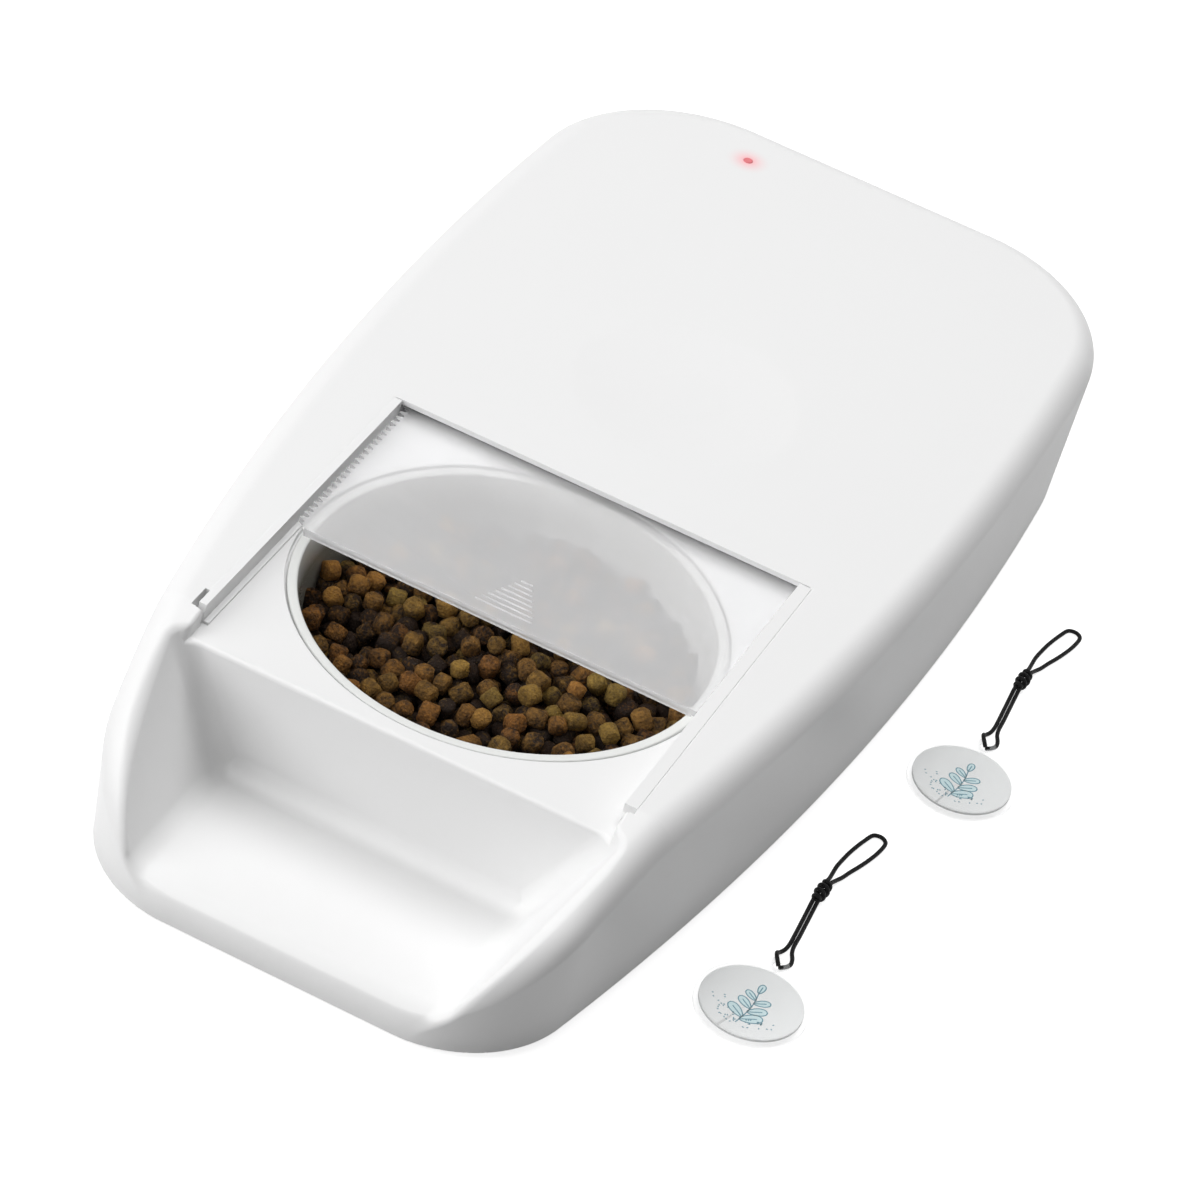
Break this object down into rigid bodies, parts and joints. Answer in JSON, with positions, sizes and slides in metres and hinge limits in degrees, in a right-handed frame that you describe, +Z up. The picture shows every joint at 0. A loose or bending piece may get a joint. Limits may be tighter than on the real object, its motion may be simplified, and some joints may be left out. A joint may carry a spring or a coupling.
{
  "type": "microchip pet feeder",
  "caption": "Long low pet feeder with a clear sliding lid half open over a round bowl, a front tray to lean on, and two round tags on cords beside it.",
  "frame": {"origin": "on the floor, at the middle of the box round the feeder and its two tags", "axes": "+X to the feeder's right side, where the tags lie; +Y from the tray towards the hood; +Z up"},
  "size_m": [0.2599, 0.433, 0.0632],
  "materials": {
    "white_plastic": "satin white moulding",
    "base_plastic": "satin pale grey moulding",
    "foot_rubber": "matt",
    "screw_steel": "zinc plated",
    "bowl_plastic": "smooth off-white",
    "lid_plastic": "clear, slightly milky",
    "nylon": "natural nylon",
    "shaft_steel": "ground",
    "brass": "turned",
    "motor_metal": "plated steel can",
    "copper": "enamelled copper wire",
    "board_green": "solder mask",
    "chip_black": "moulded black",
    "capacitor_sleeve": "shrunk sleeve",
    "socket_plastic": "natural moulding",
    "red_lens": "tinted clear",
    "button_plastic": "satin",
    "inner_plastic": "satin",
    "cell_jacket": "plain printed jacket",
    "contact_steel": "nickel plated",
    "tag_clear": "clear cast plastic",
    "tag_print": "white with blue-green line pattern",
    "cord_black": "braided",
    "kibble": "dry and crumbly"
  },
  "bodies": {
    "housing": {"upper_housing": "white_plastic", "base_plate": "base_plastic", "rubber_feet": "foot_rubber", "housing_screws": "screw_steel", "bowl": "bowl_plastic", "kibble_heap": "kibble", "guide_rail_left": "white_plastic", "guide_rail_right": "white_plastic", "guide_screws": "screw_steel", "gear_carrier": "inner_plastic", "carrier_screws": "screw_steel", "shaft_bushes": "brass", "motor_gearbox": "motor_metal", "motor": "motor_metal", "coil_former": "nylon", "antenna_coil": "copper", "circuit_board": "board_green", "board_screws": "screw_steel", "microcontroller": "chip_black", "capacitors": "capacitor_sleeve", "wire_sockets": "socket_plastic", "buzzer": "chip_black", "tact_switches": "chip_black", "status_led": "red_lens", "light_pipe": "red_lens", "battery_box": "inner_plastic", "battery_cells": "cell_jacket", "battery_contacts": "contact_steel"},
    "lid": {"sliding_lid": "lid_plastic"},
    "pinion_unit": {"rack_pinion": "nylon", "spur_gear": "nylon", "pinion_shaft": "shaft_steel"},
    "motor_unit": {"motor_pinion": "brass", "motor_shaft": "shaft_steel"},
    "open_button": {"open_button": "button_plastic"},
    "learn_button": {"learn_button": "button_plastic"},
    "battery_door": {"battery_door": "white_plastic", "door_contacts": "contact_steel"},
    "tag_a": {"tag_case_a": "tag_clear", "tag_inlay_a": "tag_print", "tag_dome_a": "tag_clear", "lanyard_a": "cord_black", "lanyard_knot_a": "cord_black"},
    "tag_b": {"tag_case_b": "tag_clear", "tag_inlay_b": "tag_print", "tag_dome_b": "tag_clear", "lanyard_b": "cord_black", "lanyard_knot_b": "cord_black"}
  },
  "joints": [
    {"name": "lid_slide", "type": "slide", "parent": "housing", "child": "lid", "axis": [0, 1, 0], "range_m": [-0.065, 0.068]},
    {"name": "pinion_spin", "type": "hinge", "parent": "housing", "child": "pinion_unit", "pos_m": [-0.10264, 0.0025, 0.05], "axis": [0, 0, 1], "range_deg": [-440, 460]},
    {"name": "motor_spin", "type": "hinge", "parent": "housing", "child": "motor_unit", "pos_m": [-0.10264, 0.02494, 0.042], "axis": [0, 0, 1], "range_deg": [-1110, 1060]},
    {"name": "open_button_push", "type": "slide", "parent": "housing", "child": "open_button", "axis": [0, -1, 0], "range_m": [0, 0.001], "stiffness_N_per_m": 1200, "springref_m": -0.0003},
    {"name": "learn_button_push", "type": "slide", "parent": "housing", "child": "learn_button", "axis": [0, -1, 0], "range_m": [0, 0.001], "stiffness_N_per_m": 1200, "springref_m": -0.0003},
    {"name": "battery_door_hinge", "type": "hinge", "parent": "housing", "child": "battery_door", "pos_m": [-0.023, 0.21236, 0.0073], "axis": [-1, 0, 0], "range_deg": [0, 95]},
    {"name": "tag_a_lift", "type": "slide", "parent": "housing", "child": "tag_a", "axis": [0, 0, 1], "range_m": [0, 0.12]},
    {"name": "tag_b_lift", "type": "slide", "parent": "housing", "child": "tag_b", "axis": [0, 0, 1], "range_m": [0, 0.12]}
  ],
  "couplings": [
    {"joint": "pinion_spin", "follows": "lid_slide", "rad_per_m": 111.11},
    {"joint": "motor_spin", "follows": "lid_slide", "rad_per_m": -277.78}
  ]
}
